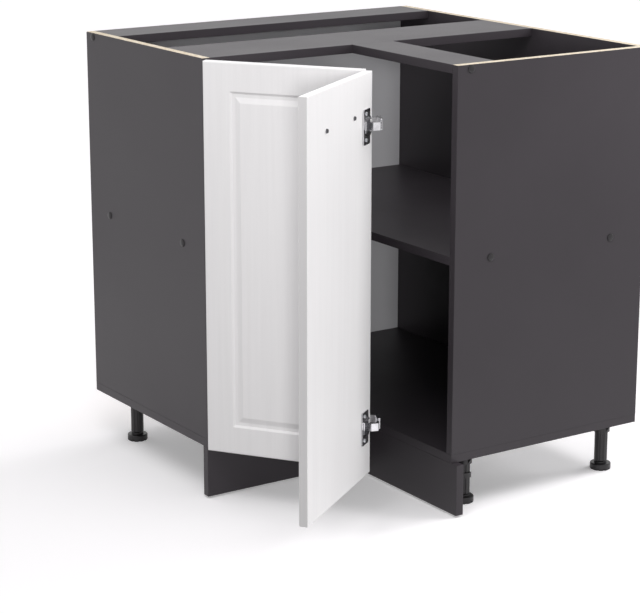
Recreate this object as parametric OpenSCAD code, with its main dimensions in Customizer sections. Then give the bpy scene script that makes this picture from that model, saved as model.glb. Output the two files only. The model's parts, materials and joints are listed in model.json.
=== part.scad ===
// Corner base cabinet for a kitchen: an L-shaped carcass on adjustable legs, with a door
// of two hinged leaves that closes the inner corner. The photograph's pose is modelled:
// both leaves still stand at a right angle to each other and swing on the left side panel.
//
// Millimetres. The origin is the room corner at floor level. One room wall lies along X
// and the other along Y, and the cabinet stands in front of both, where X and Y are negative.
// Inside the modules, x and y are counted from the near corner of the square that the
// cabinet fills, and in_corner() moves the finished piece to its place.

/* [Carcass] */
// Length of the cabinet along each room wall
run = 760; // [700:5:960]
// Depth of each wing, from the room wall to the front of the boards
wing_depth = 440; // [400:5:520]
// Height of the carcass without its legs
carcass_h = 720; // [650:5:820]
// Thickness of the coated boards
board_t = 16; // [15:0.5:19]
// Thickness of the nailed back panel
back_t = 3; // [2.5:0.5:5]
// Height of the shelf's top face above the carcass bottom
shelf_top = 380; // [300:5:420]

/* [Top rails] */
// Width of the rail along the thin back panel
back_rail_w = 98; // [60:1:120]
// Width of the rail that crosses behind the left opening
middle_rail_w = 154; // [80:1:170]
// Width of the rail along the right opening
front_rail_w = 92; // [60:1:120]

/* [Plinth and legs] */
// Height of the legs, from the floor to the carcass
leg_h = 100; // [90:1:120]
// Air gap between the plinth boards and the floor
plinth_gap = 4; // [2:0.5:10]
// Diameter of the fluted leg tube
tube_d = 25; // [22:0.5:30]
// Diameter of the foot that stands on the floor
foot_d = 40; // [36:1:50]
// Height of the foot, disc and neck together
foot_h = 16; // [14:1:20]
// Clearance between the foot's neck and the tube above it
foot_travel_up = 2; // [1:0.5:6]
// How far a foot can be screwed out of its tube
foot_travel_down = 20; // [10:1:25]
// Distance of the left legs from the left side panel's outer face
leg_left_in = 60; // [46:1:70]
// Distance of the right legs from the right side panel's outer face
leg_right_in = 50; // [46:1:60]
// Distance of the rear left leg from the room wall
leg_left_wall_in = 60; // [46:1:70]
// Distance of the rear right leg from the room wall
leg_right_wall_in = 40; // [36:1:60]
// Distance of the room corner's leg from both room walls
leg_corner_in = 50; // [46:1:60]
// Distance of the front legs from the carcass fronts
leg_front_in = 66; // [58:1:90]

/* [Door leaves] */
// Thickness of the leaves
door_t = 16; // [16:0.5:19]
// Gap between the closed leaves and the carcass front
door_gap = 2; // [1.5:0.5:3]
// Gap between a leaf and the outline of the carcass, at the sides, top and bottom
reveal = 1.5; // [1:0.5:3]
// Gap between each leaf's end and the line on which the leaves fold
corner_gap = 1.5; // [1:0.5:3]
// Rounding of the outer face's edges
edge_r = 2.5; // [1:0.5:3]
// Angle by which the door stands open
door_open = 55; // [0:1:90]
// Distance from a leaf's edge to the milled groove
groove_margin = 51; // [45:1:70]
// Depth of the milled groove
groove_depth = 3; // [1.5:0.5:3]
// Width of the groove's outer bevel
groove_bevel = 4; // [2:0.5:8]
// Width of the groove's flat floor
groove_floor = 6; // [2:0.5:12]
// Width of the slope that rises to the raised field
groove_slope = 10; // [4:0.5:20]

/* [Handle] */
// Distance between the handle's two screws
handle_cc = 128; // [96:32:160]
// Diameter of the handle's bent rod
handle_d = 10; // [8:0.5:12]
// Distance from the leaf's face to the axis of the handle's grip
handle_out = 27; // [24:1:40]
// Radius of the rod's two bends, at its axis
handle_bend_r = 15; // [12:1:20]
// Distance from the leaf's top edge down to the handle's screws
handle_down = 68; // [50:1:120]

/* [Hinges] */
// Distance from the leaves' top and bottom edges to the hinge centres
hinge_end = 91; // [80:1:120]
// Distance of the door's turning axis outside the side panel
axis_out = 3; // [2:0.5:5]
// Distance of the door's turning axis ahead of the carcass front
axis_ahead = 6.5; // [5:0.5:8]
// Diameter of the hinge cups
cup_d = 35; // [35:0.5:36]
// Depth of the hinge cups
cup_depth = 12; // [11:0.5:12.5]

/* [Hidden] */

$fn = 48;
cut = 0.5;            // how far a cutting shape runs past the face that it cuts
merge = 0.01;         // overlap that fuses two shapes into one solid
snug = 0.1;           // radial clearance of screws, dowels and pins in their holes
seat_gap = 0.3;       // clearance under a piece that is seated in a recess

anthracite = "#4b4a4d";
grey_back = "#77777a";
foil_white = "#e9e8e6";
black_plastic = "#232325";
nickel = "#c9cacc";
satin_steel = "#b4b5b8";
zinc = "#9fa0a3";
burnished = "#6a6b6e";
beech = "#d8b98a";

notch = run - wing_depth;
inner = run - board_t;
back_y = run - back_t;
base_z = leg_h;
floor_z = base_z + board_t;
top_z = base_z + carcass_h;
rail_z = top_z - board_t;
shelf_z = base_z + shelf_top - board_t;

// Places of the six legs, named by where they stand
leg_left_back = [leg_left_in, run - leg_left_wall_in];
leg_left_front = [leg_left_in, notch + leg_front_in];
leg_right_back = [run - leg_right_wall_in, leg_right_in];
leg_right_front = [notch + leg_front_in, leg_right_in];
leg_inner_corner = [notch + leg_front_in, notch + leg_front_in];
leg_room_corner = [run - leg_corner_in, run - leg_corner_in];
LEGS = [leg_left_back, leg_left_front, leg_right_back, leg_right_front,
        leg_inner_corner, leg_room_corner];

module in_corner() {
    translate([-run, -run, 0]) children();
}

// Screw with its axis along +Z: the head's top is at z = 0 and the shank runs down
module screw(head_d, head_h, shank_d, length, recess_d) {
    difference() {
        union() {
            translate([0, 0, -head_h]) cylinder(d1 = shank_d, d2 = head_d, h = head_h);
            translate([0, 0, -length]) cylinder(d = shank_d, h = length - head_h + merge);
        }
        translate([0, 0, -head_h / 2]) cylinder(d = recess_d, h = head_h / 2 + cut, $fn = 6);
    }
}

// The hole that such a screw fills
module screw_hole(head_d, head_h, shank_d, length) {
    hole_d = shank_d + 2 * snug;
    sink_d = head_d + 2 * snug;
    translate([0, 0, -head_h]) cylinder(d1 = hole_d, d2 = sink_d, h = head_h);
    translate([0, 0, -merge]) cylinder(d = sink_d, h = cut);
    translate([0, 0, -length - cut]) cylinder(d = hole_d, h = length + cut);
}

// Carcass screws: long screws that pass through one board into the next one's edge
joint_head_d = 10;
joint_head_h = 4;
joint_shank_d = 6;
joint_length = 50;
joint_recess_d = 4.6;

module joint_screw() {
    screw(joint_head_d, joint_head_h, joint_shank_d, joint_length, joint_recess_d);
}

module joint_hole() {
    screw_hole(joint_head_d, joint_head_h, joint_shank_d, joint_length);
}

shelf_screw_in = 80;
rail_screw_in = 29;
rail_mid_z = top_z - board_t / 2;
shelf_mid_z = shelf_z + board_t / 2;
back_rail_mid_y = back_y - back_rail_w / 2;
middle_rail_mid_y = notch + middle_rail_w / 2;

module at_left_side_screws() {
    for (p = [[run - rail_screw_in, rail_mid_z],
              [run - shelf_screw_in, shelf_mid_z],
              [notch + shelf_screw_in, shelf_mid_z]])
        translate([0, p.x, p.y]) rotate([0, -90, 0]) children();
}

module at_right_side_screws() {
    for (p = [[notch + rail_screw_in, rail_mid_z],
              [inner + board_t / 2, rail_mid_z],
              [run - shelf_screw_in, shelf_mid_z],
              [notch + shelf_screw_in, shelf_mid_z]])
        translate([p.x, 0, p.y]) rotate([90, 0, 0]) children();
}

module at_back_board_screws() {
    for (p = [[back_rail_mid_y, rail_mid_z],
              [middle_rail_mid_y, rail_mid_z],
              [run - shelf_screw_in, shelf_mid_z],
              [notch, shelf_mid_z],
              [shelf_screw_in, shelf_mid_z]])
        translate([run, p.x, p.y]) rotate([0, 90, 0]) children();
}

module at_bottom_screws() {
    for (p = [[board_t / 2, notch + shelf_screw_in],
              [board_t / 2, run - shelf_screw_in],
              [notch + shelf_screw_in, board_t / 2],
              [run - shelf_screw_in, board_t / 2],
              [inner + board_t / 2, notch],
              [inner + board_t / 2, run - shelf_screw_in]])
        translate([p.x, p.y, base_z]) rotate([180, 0, 0]) children();
}

// Dowels: two pegs in each of the top rail joints that no screw reaches
dowel_d = 8;
dowel_l = 30;
dowel_sunk = 11;      // length in the board whose face is drilled
dowel_in = 30;        // distance from the rail's edges

module at_rail_dowels() {
    for (y = [notch + dowel_in, notch + middle_rail_w - dowel_in])
        translate([board_t, y, rail_mid_z]) rotate([0, 90, 0]) children();
    for (x = [notch + dowel_in, notch + front_rail_w - dowel_in])
        translate([x, notch, rail_mid_z]) rotate([90, 0, 0]) children();
}

module dowel_hole() {
    translate([0, 0, -dowel_sunk - seat_gap])
        cylinder(d = dowel_d + 2 * snug, h = dowel_l + 2 * seat_gap);
}

// An L-shaped board: its outline follows both fronts and stops at the given limits
module l_board(x0, y0, x1, y1) {
    linear_extrude(board_t)
        polygon([[x0, notch], [notch, notch], [notch, y0], [x1, y0], [x1, y1], [x0, y1]]);
}

module bottom_panel() color(anthracite) in_corner() difference() {
    translate([0, 0, base_z]) l_board(0, 0, run, back_y);
    at_bottom_screws() joint_hole();
    at_socket_screws() socket_screw_hole();
}

module left_side() color(anthracite) in_corner() difference() {
    translate([0, notch, floor_z]) cube([board_t, back_y - notch, top_z - floor_z]);
    at_left_side_screws() joint_hole();
    at_bottom_screws() joint_hole();
    at_rail_dowels() dowel_hole();
    at_swing_hinges() plate_screw_holes();
}

module right_side() color(anthracite) in_corner() difference() {
    translate([notch, 0, floor_z]) cube([run - notch, board_t, top_z - floor_z]);
    at_right_side_screws() joint_hole();
    at_bottom_screws() joint_hole();
}

module back_board() color(anthracite) in_corner() difference() {
    translate([inner, board_t, floor_z]) cube([board_t, back_y - board_t, top_z - floor_z]);
    at_right_side_screws() joint_hole();
    at_back_board_screws() joint_hole();
    at_bottom_screws() joint_hole();
}

// The thin panel is nailed over the boards' rear edges, a little inside the outline
module back_panel() color(grey_back) in_corner()
    translate([reveal, back_y, base_z + reveal])
        cube([run - 2 * reveal, back_t, carcass_h - 2 * reveal]);

module shelf() color(anthracite) in_corner() difference() {
    translate([0, 0, shelf_z]) l_board(board_t, board_t, inner, back_y);
    at_left_side_screws() joint_hole();
    at_right_side_screws() joint_hole();
    at_back_board_screws() joint_hole();
}

module back_rail() color(anthracite) in_corner() difference() {
    translate([board_t, back_y - back_rail_w, rail_z]) cube([inner - board_t, back_rail_w, board_t]);
    at_left_side_screws() joint_hole();
    at_back_board_screws() joint_hole();
}

module middle_rail() color(anthracite) in_corner() difference() {
    translate([board_t, notch, rail_z]) cube([inner - board_t, middle_rail_w, board_t]);
    at_back_board_screws() joint_hole();
    at_rail_dowels() dowel_hole();
}

module front_rail() color(anthracite) in_corner() difference() {
    translate([notch, board_t, rail_z]) cube([front_rail_w, notch - board_t, board_t]);
    at_right_side_screws() joint_hole();
    at_rail_dowels() dowel_hole();
}

module rail_dowels() color(beech) in_corner()
    at_rail_dowels() translate([0, 0, -dowel_sunk]) cylinder(d = dowel_d, h = dowel_l);

module left_side_screws() color(burnished) in_corner() at_left_side_screws() joint_screw();

module right_side_screws() color(burnished) in_corner() at_right_side_screws() joint_screw();

module back_board_screws() color(burnished) in_corner() at_back_board_screws() joint_screw();

module bottom_screws() color(burnished) in_corner() at_bottom_screws() joint_screw();

// The left plinth runs on past the inner corner, and the right one butts against it and
// so stands past the right side panel by one board
module left_plinth() color(anthracite) in_corner()
    translate([0, notch, plinth_gap]) cube([notch + board_t, board_t, base_z - plinth_gap]);

module right_plinth() color(anthracite) in_corner()
    translate([notch, -board_t, plinth_gap]) cube([board_t, notch + board_t, base_z - plinth_gap]);

// Legs: a flanged socket under the bottom panel, a fluted tube pushed into it, and a foot
// whose stem slides in the tube as it is screwed in or out
socket_flange_d = 62;
socket_flange_t = 4;
socket_wall = 3.5;
socket_depth = 20;
socket_rib_t = 2.4;
socket_rib_in = 2;    // distance of the ribs' ends from the flange's rim and the socket's mouth
socket_screw_ring_d = 48;
socket_head_d = 7.4;
socket_head_h = 2.6;
socket_shank_d = 3.8;
socket_screw_l = 16;
socket_recess_d = 2.5;
tube_bore_d = 12;
flute_count = 10;
flute_d = 3.2;
flute_out = 0.5;      // distance of the flutes' axes outside the tube's surface
stem_grip = 24;       // length of stem that stays in the tube when the foot is screwed out
foot_neck_d = 24;
foot_neck_h = 3;
foot_edge_bevel = 1;
foot_round_r = 2.5;
foot_round_step = 15;  // degrees between the points of that rounding
foot_notch_w = 4;
foot_notch_in = 2.5;
foot_notch_h = 4;
foot_notch_count = 10;

tube_low_z = foot_h + foot_travel_up;
tube_high_z = base_z - socket_flange_t;
stem_h = foot_travel_up + foot_travel_down + stem_grip;
socket_low_z = tube_high_z - socket_depth;
socket_d = tube_d + 2 * socket_wall;

module at_legs() {
    for (p = LEGS) translate([p.x, p.y, 0]) children();
}

module at_socket_screws() {
    at_legs() for (a = [45:90:315])
        rotate(a) translate([socket_screw_ring_d / 2, 0, tube_high_z]) rotate([180, 0, 0]) children();
}

module socket_screw_hole() {
    screw_hole(socket_head_d, socket_head_h, socket_shank_d, socket_screw_l);
}

module socket_screws() color(zinc) in_corner() at_socket_screws()
    screw(socket_head_d, socket_head_h, socket_shank_d, socket_screw_l, socket_recess_d);

module leg_sockets() color(black_plastic) in_corner() difference() {
    at_legs() {
        translate([0, 0, tube_high_z]) cylinder(d = socket_flange_d, h = socket_flange_t);
        translate([0, 0, socket_low_z]) cylinder(d = socket_d, h = socket_depth);
        for (a = [0:90:270]) rotate(a) translate([0, socket_rib_t / 2, 0]) rotate([90, 0, 0])
            linear_extrude(socket_rib_t) polygon([
                [socket_d / 2 - socket_rib_in, socket_low_z + socket_rib_in],
                [socket_d / 2, socket_low_z + socket_rib_in],
                [socket_flange_d / 2 - socket_rib_in, tube_high_z],
                [socket_d / 2 - socket_rib_in, tube_high_z]]);
    }
    at_legs() translate([0, 0, socket_low_z - cut])
        cylinder(d = tube_d + 2 * snug, h = socket_depth + cut);
    at_socket_screws() socket_screw_hole();
}

module leg_tubes() color(black_plastic) in_corner() at_legs() difference() {
    translate([0, 0, tube_low_z]) cylinder(d = tube_d, h = tube_high_z - tube_low_z);
    translate([0, 0, tube_low_z - cut]) cylinder(d = tube_bore_d, h = stem_h + cut);
    for (i = [0:flute_count - 1]) rotate(i * 360 / flute_count)
        translate([tube_d / 2 + flute_out, 0, tube_low_z - cut])
            cylinder(d = flute_d, h = socket_low_z - tube_low_z, $fn = 24);
}

// The foot is a drum with notches round its lower rim, a neck, and the stem in the tube
module foot(p) color(black_plastic) in_corner() translate([p.x, p.y, 0]) difference() {
    drum_h = foot_h - foot_neck_h;
    drum_edge = [for (a = [0:foot_round_step:90])
        [foot_d / 2 - foot_round_r * (1 - cos(a)), drum_h - foot_round_r * (1 - sin(a))]];
    rotate_extrude() polygon(concat(
        [[0, 0], [foot_d / 2 - foot_edge_bevel, 0], [foot_d / 2, foot_edge_bevel]],
        drum_edge,
        [[foot_neck_d / 2, drum_h],
         [foot_neck_d / 2, foot_h],
         [tube_bore_d / 2 - snug, foot_h],
         [tube_bore_d / 2 - snug, foot_h + stem_h],
         [0, foot_h + stem_h]]));
    for (i = [0:foot_notch_count - 1]) rotate(i * 360 / foot_notch_count)
        translate([foot_d / 2 - foot_notch_in, -foot_notch_w / 2, -cut])
            cube([foot_d, foot_notch_w, foot_notch_h + cut]);
}

module foot_left_back() foot(leg_left_back);
module foot_left_front() foot(leg_left_front);
module foot_right_back() foot(leg_right_back);
module foot_right_front() foot(leg_right_front);
module foot_inner_corner() foot(leg_inner_corner);
module foot_room_corner() foot(leg_room_corner);

// Spring clips on the leg tubes hold the plinth boards from behind
clip_h = 10;
clip_t = 2.4;
clip_neck_w = 10;
clip_plate_w = 32;
clip_plate_h = 24;
clip_mouth = 100;
clip_pitch = 13;      // between the two clips on the inner corner's leg
clip_below_socket = 4;
clip_high_z = socket_low_z - clip_below_socket - clip_h / 2;
clip_low_z = clip_high_z - clip_pitch;

// The ring is open on the far side from the plinth, and reach is the distance from the
// tube's axis to the plinth's rear face
module plinth_clip(reach) {
    ring_r = tube_d / 2 + snug + clip_t;
    mouth = 2 * ring_r * [sin(clip_mouth / 2), cos(clip_mouth / 2)];
    difference() {
        union() {
            cylinder(r = ring_r, h = clip_h, center = true);
            translate([-clip_neck_w / 2, clip_t / 2 - reach, -clip_h / 2])
                cube([clip_neck_w, reach - ring_r + clip_t, clip_h]);
        }
        cylinder(d = tube_d + 2 * snug, h = clip_h + 2 * cut, center = true);
        linear_extrude(clip_h + 2 * cut, center = true)
            polygon([[0, 0], mouth, [-mouth.x, mouth.y]]);
    }
    translate([-clip_plate_w / 2, -reach, -clip_plate_h / 2])
        cube([clip_plate_w, clip_t, clip_plate_h]);
}

module plinth_clips() color(black_plastic) in_corner() {
    reach = leg_front_in - board_t;
    translate([leg_left_front.x, leg_left_front.y, clip_low_z]) plinth_clip(reach);
    translate([leg_inner_corner.x, leg_inner_corner.y, clip_low_z]) plinth_clip(reach);
    translate([leg_right_front.x, leg_right_front.y, clip_low_z]) rotate(-90) plinth_clip(reach);
    translate([leg_inner_corner.x, leg_inner_corner.y, clip_high_z]) rotate(-90) plinth_clip(reach);
}

// Door geometry, with the door closed: the leaves' outer faces lie in the planes
// x = face and y = face, and meet on the vertical line on which the leaves fold
face = notch - door_gap - door_t;
leaf_w = face - reveal - corner_gap;
leaf_h = carcass_h - 2 * reveal;
leaf_z = base_z + reveal;
door_axis = [-axis_out, notch - axis_ahead];
hinge_heights = [leaf_z + hinge_end, leaf_z + leaf_h - hinge_end];

function turned(p, a) = [p.x * cos(a) - p.y * sin(a), p.x * sin(a) + p.y * cos(a)];

// Swings what belongs to the door from its closed place to the angle at which it stands
module swung() {
    translate([door_axis.x, door_axis.y, 0]) rotate(-door_open)
        translate([-door_axis.x, -door_axis.y, 0]) children();
}

// Leaf frames: x runs from the hinge edge along the leaf, y from the outer face inwards
module on_left_leaf() {
    in_corner() swung() translate([reveal, face, 0]) children();
}

module on_right_leaf() {
    in_corner() swung() translate([face, face, 0]) rotate(-90) translate([corner_gap, 0, 0]) children();
}

// Outline with its two corners at y = 0 rounded
module eased(w, t) {
    translate([edge_r, 0]) square([w - 2 * edge_r, t]);
    translate([0, edge_r]) square([w, t - edge_r]);
    translate([edge_r, edge_r]) circle(edge_r);
    translate([w - edge_r, edge_r]) circle(edge_r);
}

// A block with sloping sides, set in from the leaf's edges by margin_a at depth a and by
// margin_b at depth b
module sloped_field(margin_a, a, margin_b, b) {
    function ring(m, y) = [
        [m, y, m], [leaf_w - m, y, m], [leaf_w - m, y, leaf_h - m], [m, y, leaf_h - m]];
    ends = [[3, 2, 1, 0], [4, 5, 6, 7]];
    sides = [for (i = [0:3]) [i, (i + 1) % 4, (i + 1) % 4 + 4, i + 4]];
    translate([0, 0, leaf_z])
        polyhedron(points = concat(ring(margin_a, a), ring(margin_b, b)), faces = concat(ends, sides));
}

module frame_groove() {
    bevel_run = groove_bevel / groove_depth;
    slope_run = groove_slope / groove_depth;
    floor_out = groove_margin + groove_bevel;
    floor_in = floor_out + groove_floor;
    above = 2 * cut;
    difference() {
        sloped_field(groove_margin - bevel_run * cut, -cut, floor_out, groove_depth);
        sloped_field(floor_in + groove_slope + slope_run * above, -above,
                     floor_in - slope_run * cut, groove_depth + cut);
    }
}

// cup_in is the distance from the leaf's edge to the middle of its hinge cups, and flange_t
// the thickness of their flanges
module leaf(cup_in, flange_t) {
    difference() {
        intersection() {
            translate([0, 0, leaf_z]) linear_extrude(leaf_h) eased(leaf_w, door_t);
            translate([leaf_w, 0, leaf_z]) rotate([0, -90, 0])
                linear_extrude(leaf_w) eased(leaf_h, door_t);
        }
        frame_groove();
        for (z = hinge_heights) {
            translate([cup_in, door_t - cup_depth - seat_gap, z]) rotate([-90, 0, 0])
                cylinder(d = cup_d + 2 * snug, h = cup_depth + seat_gap + cut);
            at_cup_screws(cup_in, z, flange_t) cup_screw_hole();
        }
    }
}

swing_cup_in = 25;
fold_cup_in = 23.5;

module left_leaf() color(foil_white) on_left_leaf() difference() {
    leaf(swing_cup_in, swing_flange_t);
    at_fold_arms() plate_screw_holes();
}

module right_leaf() color(foil_white) on_right_leaf() difference() {
    leaf(fold_cup_in, fold_flange_t);
    at_handle_screws() translate([0, 0, -cut]) cylinder(d = handle_hole_d, h = door_t + 2 * cut);
}

// Handle: a rod bent at both ends, across the outer face of the right leaf
handle_thread_d = 4;
handle_hole_d = 5;
handle_screw_in = 10;
handle_head_d = 8;
handle_head_taper = 1.6;
handle_head_h = 2.6;
handle_cross_l = 4.8;
cross_w = 1;          // width of the cross cut into a screw head
cross_depth = 1.2;

module at_handle_screws() {
    for (side = [-1, 1])
        translate([leaf_w / 2 + side * handle_cc / 2, 0, leaf_z + leaf_h - handle_down])
            rotate([-90, 0, 0]) children();
}

// One half of the rod, from its foot on the leaf to the middle of the grip
module handle_half() {
    leg_l = handle_out - handle_bend_r;
    grip_l = handle_cc / 2 - handle_bend_r;
    translate([handle_cc / 2, 0, 0]) {
        rotate([90, 0, 0]) cylinder(d = handle_d, h = leg_l);
        translate([-handle_bend_r, -leg_l, 0]) rotate(-90) rotate_extrude(angle = 90)
            translate([handle_bend_r, 0]) circle(d = handle_d);
        translate([-handle_bend_r + merge, -handle_out, 0]) rotate([0, -90, 0])
            cylinder(d = handle_d, h = grip_l + 2 * merge);
    }
}

module handle() color(satin_steel) on_right_leaf() difference() {
    translate([leaf_w / 2, 0, leaf_z + leaf_h - handle_down]) {
        handle_half();
        mirror([1, 0, 0]) handle_half();
    }
    at_handle_screws() translate([0, 0, -handle_screw_in - cut])
        cylinder(d = handle_thread_d + 2 * snug, h = handle_screw_in + 2 * cut);
}

module handle_screws() color(burnished) on_right_leaf() at_handle_screws() difference() {
    union() {
        translate([0, 0, door_t])
            cylinder(d1 = handle_head_d, d2 = handle_head_d - handle_head_taper, h = handle_head_h);
        translate([0, 0, -handle_screw_in])
            cylinder(d = handle_thread_d, h = handle_screw_in + door_t + merge);
    }
    translate([0, 0, door_t + handle_head_h]) cross_recess(handle_cross_l);
}

// Cross for a screwdriver, cut down from z = 0
module cross_recess(length) {
    for (a = [0, 90]) rotate(a) translate([0, 0, cut - (cross_depth + cut) / 2])
        cube([length, cross_w, cross_depth + cut], center = true);
}

// Hinge parts. Each hinge is a parallel linkage: a crank turns on the fixed arm and carries
// the link, whose other end turns on the pin in the cup, so that the cup goes round the
// joint's axis. The link keeps its direction while crank and leaf turn together.
pin_d = 3;
link_w = 4;
eye_d = 6.6;
tongue_w = 5.4;
crank_w = 6;
crank_eye_d = 7;
crank_t = 2.4;
layer_gap = 0.3;
arm_h = 18;

// Swing hinge: its cup pin and the crank's pin on the arm, in plan with the door closed
swing_pin_in = 17;    // from the leaf's hinge edge to the cup's pin
swing_pin_sunk = 3;   // from the leaf's inner face down to the cup's pin
swing_arm_out = 26;   // from the side panel to the arm's pin
swing_arm_behind = 10; // from the carcass front back to the arm's pin
swing_pin_at = [reveal + swing_pin_in, face + door_t - swing_pin_sunk];
swing_arm_pin = [board_t + swing_arm_out, notch + swing_arm_behind];
swing_link_h = 8;
swing_throw = swing_pin_at - door_axis;
swing_span = swing_arm_pin - door_axis;
swing_pin_now = door_axis + turned(swing_throw, -door_open);
swing_crank_now = swing_arm_pin + turned(swing_throw, -door_open);

// Fold hinge: the same places counted from the fold line
fold_pin_in = 22;
fold_pin_sunk = 4;
fold_arm_past = 2;    // from the right leaf's inner face to the arm's pin
fold_arm_out = 10;    // from the left leaf's inner face to the arm's pin
fold_pin_off = [door_t - fold_pin_sunk, -fold_pin_in];
fold_arm_off = [door_t + fold_arm_past, door_t + fold_arm_out];
fold_link_h = 14;

// The bends of the two links, which lead them round the leaves' edges, counted from the cup's
// pin, and the last bend of the swing link counted back from the arm's pin
swing_link_bends = [[7.3, -4.4], [20, -3.6], [21, 8]];
swing_link_last_bend = [0, -8.5];
fold_link_bends = [[15, -1.5], [23.5, 5]];

// A flat bar of even width along a bent path. Its bends are mitred, and its ends are square
function unit(v) = v / norm(v);
function left_of(v) = [-v.y, v.x];
function mitre(points, i) =
    let (a = max(i, 1), b = min(i, len(points) - 2))
    let (before = unit(points[a] - points[a - 1]), after = unit(points[b + 1] - points[b]))
    (left_of(before) + left_of(after)) / (1 + before * after);

module bent_bar(points, w, h) {
    last = len(points) - 1;
    linear_extrude(h, center = true) polygon(concat(
        [for (i = [0:last]) points[i] + w / 2 * mitre(points, i)],
        [for (i = [last:-1:0]) points[i] - w / 2 * mitre(points, i)]));
}

module link_bar(points, h) {
    ends = [points[0], points[len(points) - 1]];
    difference() {
        union() {
            bent_bar(points, link_w, h);
            for (p = ends) translate(p) cylinder(d = eye_d, h = h, center = true);
        }
        for (p = ends) translate(p) cylinder(d = pin_d + 2 * snug, h = h + 2 * cut, center = true);
    }
}

// Two side plates joined by the pins on which the arm's tongue and the link turn
module crank(from, to, link_h) {
    plate_mid = link_h / 2 + layer_gap + crank_t / 2;
    pin_l = link_h + 2 * layer_gap + 2 * crank_t;
    for (side = [-1, 1]) translate([0, 0, side * plate_mid]) {
        bent_bar([from, to], crank_w, crank_t);
        for (p = [from, to]) translate(p) cylinder(d = crank_eye_d, h = crank_t, center = true);
    }
    for (p = [from, to]) translate(p) cylinder(d = pin_d, h = pin_l, center = true);
}

module swing_link() {
    path = concat([[0, 0]], swing_link_bends, [swing_span + swing_link_last_bend, swing_span]);
    translate(swing_pin_now) link_bar(path, swing_link_h);
}

module fold_link() {
    translate(fold_pin_off) link_bar(concat([[0, 0]], fold_link_bends, [fold_arm_off]), fold_link_h);
}

// Cup: a round body with a pocket for the link, a flange on the leaf's inner face and the pin.
// x = 0 is the cup's middle, y = 0 the leaf's inner face, and the pocket opens towards +y
swing_flange_t = 1.2;
fold_flange_t = 2.4;
flange_h = 61;
flange_from = -9;
flange_to = 22;
flange_r = 4;
flange_rim = 2;       // how far the flange reaches past the cup's round body
pocket_h = 21;
pocket_wall = 1;
cup_screw_spread = 45;
cup_screw_x = 9.5;
cup_shank_d = 3.6;
cup_shank_l = 9.5;
cup_head_d = 7;
cup_head_taper = 1.6;
cup_head_h = 1.8;
cup_cross_l = 4.2;

module at_cup_screws(cup_in, z, flange_t) {
    for (side = [-1, 1])
        translate([cup_in + cup_screw_x, door_t + flange_t, z + side * cup_screw_spread / 2])
            rotate([-90, 0, 0]) children();
}

module cup_screw_hole() {
    translate([0, 0, -cup_shank_l - cut]) cylinder(d = cup_shank_d + 2 * snug, h = cup_shank_l + 2 * cut);
}

module cup_screw() {
    difference() {
        union() {
            translate([0, 0, -cup_shank_l]) cylinder(d = cup_shank_d, h = cup_shank_l + merge);
            cylinder(d1 = cup_head_d, d2 = cup_head_d - cup_head_taper, h = cup_head_h);
        }
        translate([0, 0, cup_head_h]) rotate(45) cross_recess(cup_cross_l);
    }
}

module flange_outline() {
    flange_w = flange_to - flange_from;
    difference() {
        union() {
            for (x = [flange_from + flange_r, flange_to - flange_r], side = [-1, 1])
                translate([x, side * (flange_h / 2 - flange_r)]) circle(flange_r);
            translate([flange_from + flange_r, -flange_h / 2])
                square([flange_w - 2 * flange_r, flange_h]);
            translate([flange_from, flange_r - flange_h / 2])
                square([flange_w, flange_h - 2 * flange_r]);
            circle(d = cup_d + 2 * flange_rim);
        }
        translate([-cup_d, -pocket_h / 2]) square([1.5 * cup_d, pocket_h]);
        for (side = [-1, 1]) translate([cup_screw_x, side * cup_screw_spread / 2])
            circle(d = cup_shank_d + 2 * snug);
    }
}

module hinge_cup(pin_x, pin_y, flange_t) {
    difference() {
        union() {
            rotate([90, 0, 0]) cylinder(d = cup_d, h = cup_depth);
            rotate([-90, 0, 0]) linear_extrude(flange_t) flange_outline();
        }
        intersection() {
            translate([0, cut, 0]) rotate([90, 0, 0])
                cylinder(d = cup_d - 2 * pocket_wall, h = cup_depth - pocket_wall + cut);
            translate([-cup_d, -cup_depth, -pocket_h / 2]) cube([2 * cup_d, 2 * cup_depth, pocket_h]);
        }
    }
    translate([pin_x, pin_y, 0]) cylinder(d = pin_d, h = pocket_h + pocket_wall, center = true);
}

module swing_hinge_cups() color(nickel) on_left_leaf() for (z = hinge_heights)
    translate([swing_cup_in, door_t, z]) hinge_cup(
        swing_pin_at.x - reveal - swing_cup_in, swing_pin_at.y - face - door_t, swing_flange_t);

module fold_hinge_cups() color(nickel) on_right_leaf() for (z = hinge_heights)
    translate([fold_cup_in, door_t, z]) hinge_cup(
        -fold_pin_off.y - corner_gap - fold_cup_in, fold_pin_off.x - door_t, fold_flange_t);

module swing_cup_screws() color(zinc) on_left_leaf() for (z = hinge_heights)
    at_cup_screws(swing_cup_in, z, swing_flange_t) cup_screw();

module fold_cup_screws() color(zinc) on_right_leaf() for (z = hinge_heights)
    at_cup_screws(fold_cup_in, z, fold_flange_t) cup_screw();

// Mounting plates and arms, in plan: y = 0 is the surface that carries them, x = 0 their
// rear end, and the nose points towards +x
plate_t = 3;
plate_l = 50;
plate_w = 22;
plate_wing_h = 46;
plate_screw_spread = 32;
plate_screw_x = plate_l / 2;
plate_screw_d = 4;
plate_screw_in = 11;
plate_head_d = 8;
plate_head_h = 2.4;
plate_recess_d = 3.2;
arm_l = 60;
arm_t = 10;
arm_root = 6;
adjuster_d = 8;
adjuster_h = 1.2;
adjuster_slot_w = 1.2;
adjuster_slot_l = 5.6;
adjuster_x = [12, 42];

// Distance from the carcass front, or from the fold line, back to the arms' rear ends
swing_arm_back = 76;
fold_arm_back = 62;
swing_pin_on_arm = [swing_arm_back - (swing_arm_pin.y - notch), swing_arm_pin.x - board_t];
fold_pin_on_arm = [fold_arm_back + fold_arm_off.x, fold_arm_off.y - door_t];

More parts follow.
